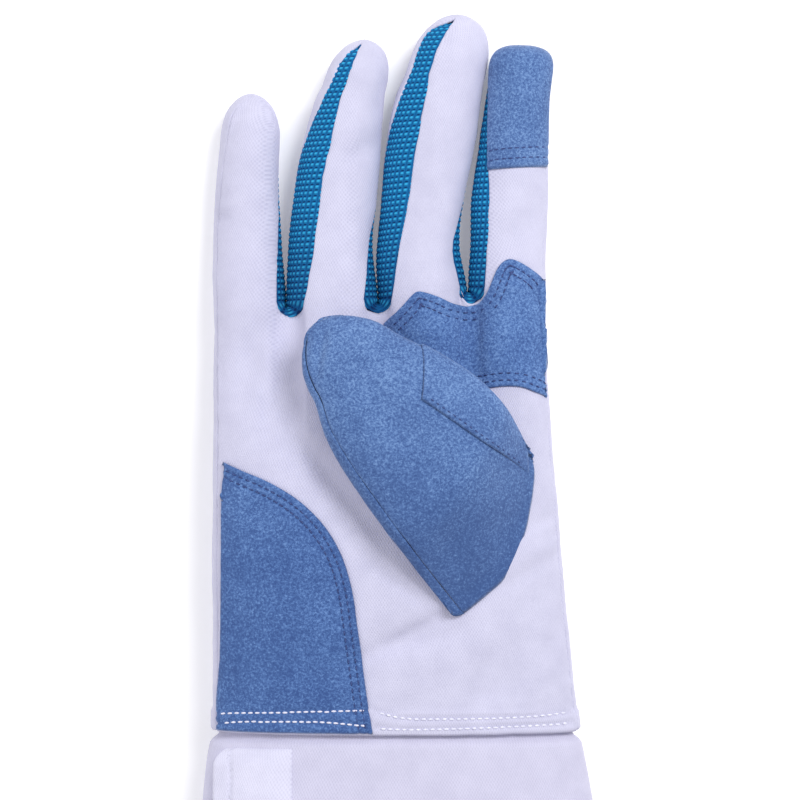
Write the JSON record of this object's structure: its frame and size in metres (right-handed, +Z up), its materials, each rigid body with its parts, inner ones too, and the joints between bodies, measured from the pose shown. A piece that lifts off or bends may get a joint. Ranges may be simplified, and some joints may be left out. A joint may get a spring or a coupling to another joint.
{
  "type": "fencing glove",
  "caption": "Right-hand knit fencing glove lying palm up, with suede thumb and patches, mesh strips between the fingers and a flared cuff.",
  "frame": {"origin": "under the middle of the whole glove's box, on the surface that it rests on", "axes": "+Y from the cuff towards the fingertips, +X towards the index finger, +Z up, out of the palm"},
  "size_m": [0.1538, 0.3638, 0.0472],
  "materials": {
    "white_knit": "fine white knit with a cool tint",
    "blue_suede": "soft blue suede with mottled nap",
    "blue_mesh": "blue air mesh with rows of open loops"
  },
  "bodies": {
    "root": {"palm_panel": "white_knit", "back_panel": "white_knit", "fourchette_little_ring": "blue_mesh", "fourchette_ring_middle": "blue_mesh", "fourchette_middle_index": "blue_mesh", "index_tip_cap": "blue_suede", "web_patch": "blue_suede", "heel_patch": "blue_suede", "thumb_front": "blue_suede", "thumb_back": "blue_suede", "thumb_patch": "blue_suede", "cuff": "white_knit", "closure_flap": "white_knit"}
  },
  "joints": []
}
